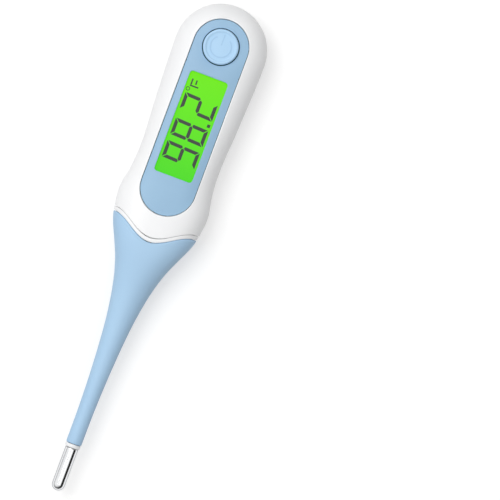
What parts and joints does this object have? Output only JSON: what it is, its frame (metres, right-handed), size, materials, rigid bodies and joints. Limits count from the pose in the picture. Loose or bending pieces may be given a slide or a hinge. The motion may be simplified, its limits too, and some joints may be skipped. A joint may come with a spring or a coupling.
{
  "type": "digital thermometer",
  "caption": "Clinical digital thermometer with a green-lit display, a round power button, a flexible blue stem and a steel probe tip.",
  "frame": {"origin": "middle of the plan outline, on the flat back", "axes": "+X from the probe tip towards the button end, +Y towards the tops of the digits, +Z out of the display"},
  "size_m": [0.1421, 0.0258, 0.0157],
  "materials": {
    "white_shell": "satin",
    "panel_blue": "matte",
    "button_blue": "matte",
    "stem_blue": "matte",
    "clear_window": "polished",
    "lcd_green": "glossy",
    "milky": "satin",
    "black_rubber": "matte",
    "silicone": "matte",
    "board_green": "satin",
    "black_plastic": "matte",
    "ceramic": "matte",
    "epoxy": "satin",
    "polished_steel": "polished",
    "spring_steel": "brushed",
    "brass": "satin"
  },
  "bodies": {
    "case": {"front_housing": "white_shell", "rear_housing": "white_shell", "housing_seal": "silicone", "display_panel": "panel_blue", "display_window": "clear_window", "lcd_cell": "lcd_green", "lcd_frame": "white_shell", "zebra_strip": "black_rubber", "reflector_film": "white_shell", "light_guide": "milky", "backlight_led_a": "milky", "backlight_led_b": "milky", "button_membrane": "silicone", "switch_body": "black_plastic", "coin_cell": "polished_steel", "battery_cover_seal": "silicone", "negative_contact": "spring_steel", "positive_contact": "spring_steel", "main_board": "board_green", "board_screw_a": "polished_steel", "board_screw_b": "polished_steel", "controller_glob_top": "epoxy", "crystal_can": "spring_steel", "capacitor": "ceramic", "resistor_a": "black_plastic", "resistor_b": "black_plastic", "buzzer_plate": "brass", "buzzer_ceramic": "ceramic", "buzzer_lead_a": "brass", "buzzer_lead_b": "brass", "neck_insert": "white_shell", "stem_base": "stem_blue", "thermistor_lead_a": "brass", "thermistor_lead_b": "brass"},
    "button": {"power_button": "button_blue"},
    "plunger": {"switch_plunger": "ceramic"},
    "cover": {"battery_cover": "white_shell"},
    "cover_screw": {"battery_cover_screw": "polished_steel"},
    "link_01": {"stem_link_01": "stem_blue"},
    "link_02": {"stem_link_02": "stem_blue"},
    "link_03": {"stem_link_03": "stem_blue"},
    "link_04": {"stem_link_04": "stem_blue"},
    "link_05": {"stem_link_05": "stem_blue"},
    "link_06": {"stem_link_06": "stem_blue"},
    "link_07": {"stem_link_07": "stem_blue"},
    "link_08": {"stem_link_08": "stem_blue"},
    "link_09": {"stem_link_09": "stem_blue"},
    "tip": {"stem_tip": "stem_blue", "probe_collar": "white_shell", "probe_cap": "polished_steel", "probe_potting": "epoxy", "thermistor": "black_plastic"}
  },
  "joints": [
    {"name": "button_press", "type": "slide", "parent": "case", "child": "button", "axis": [0, 0, -1], "range_m": [0, 0.0004], "stiffness_N_per_m": 2500},
    {"name": "plunger_press", "type": "slide", "parent": "case", "child": "plunger", "axis": [0, 0, -1], "range_m": [0, 0.00025]},
    {"name": "cover_lift", "type": "slide", "parent": "case", "child": "cover", "axis": [0, 0, -1], "range_m": [0, 0.012]},
    {"name": "cover_screw_out", "type": "slide", "parent": "cover", "child": "cover_screw", "axis": [0, 0, -1], "range_m": [0, 0.003]},
    {"name": "side_bend_1", "type": "hinge", "parent": "case", "child": "link_01", "pos_m": [-0.02405, 0, 0.0075], "axis": [0, 0, 1], "range_deg": [-12, 12], "stiffness_Nm_per_rad": 0.015, "deforming": ["thermistor_lead_a", "thermistor_lead_b"]},
    {"name": "lift_bend_1", "type": "hinge", "parent": "link_01", "child": "link_02", "pos_m": [-0.02705, 0, 0.0075], "axis": [0, 1, 0], "range_deg": [-12, 12], "stiffness_Nm_per_rad": 0.015, "deforming": ["thermistor_lead_a", "thermistor_lead_b"]},
    {"name": "side_bend_2", "type": "hinge", "parent": "link_02", "child": "link_03", "pos_m": [-0.03005, 0, 0.0075], "axis": [0, 0, 1], "range_deg": [-12, 12], "stiffness_Nm_per_rad": 0.015},
    {"name": "lift_bend_2", "type": "hinge", "parent": "link_03", "child": "link_04", "pos_m": [-0.03305, 0, 0.0075], "axis": [0, 1, 0], "range_deg": [-12, 12], "stiffness_Nm_per_rad": 0.015},
    {"name": "side_bend_3", "type": "hinge", "parent": "link_04", "child": "link_05", "pos_m": [-0.03605, 0, 0.0075], "axis": [0, 0, 1], "range_deg": [-12, 12], "stiffness_Nm_per_rad": 0.015},
    {"name": "lift_bend_3", "type": "hinge", "parent": "link_05", "child": "link_06", "pos_m": [-0.03905, 0, 0.0075], "axis": [0, 1, 0], "range_deg": [-12, 12], "stiffness_Nm_per_rad": 0.015},
    {"name": "side_bend_4", "type": "hinge", "parent": "link_06", "child": "link_07", "pos_m": [-0.04205, 0, 0.0075], "axis": [0, 0, 1], "range_deg": [-12, 12], "stiffness_Nm_per_rad": 0.015},
    {"name": "lift_bend_4", "type": "hinge", "parent": "link_07", "child": "link_08", "pos_m": [-0.04505, 0, 0.0075], "axis": [0, 1, 0], "range_deg": [-12, 12], "stiffness_Nm_per_rad": 0.015},
    {"name": "side_bend_5", "type": "hinge", "parent": "link_08", "child": "link_09", "pos_m": [-0.04805, 0, 0.0075], "axis": [0, 0, 1], "range_deg": [-12, 12], "stiffness_Nm_per_rad": 0.015},
    {"name": "lift_bend_5", "type": "hinge", "parent": "link_09", "child": "tip", "pos_m": [-0.05105, 0, 0.0075], "axis": [0, 1, 0], "range_deg": [-12, 12], "stiffness_Nm_per_rad": 0.015}
  ],
  "couplings": [
    {"joint": "plunger_press", "follows": "button_press", "ratio": 0.625},
    {"joint": "side_bend_2", "follows": "side_bend_1", "ratio": 1},
    {"joint": "lift_bend_2", "follows": "lift_bend_1", "ratio": 1},
    {"joint": "side_bend_3", "follows": "side_bend_1", "ratio": 1},
    {"joint": "lift_bend_3", "follows": "lift_bend_1", "ratio": 1},
    {"joint": "side_bend_4", "follows": "side_bend_1", "ratio": 1},
    {"joint": "lift_bend_4", "follows": "lift_bend_1", "ratio": 1},
    {"joint": "side_bend_5", "follows": "side_bend_1", "ratio": 1},
    {"joint": "lift_bend_5", "follows": "lift_bend_1", "ratio": 1}
  ]
}
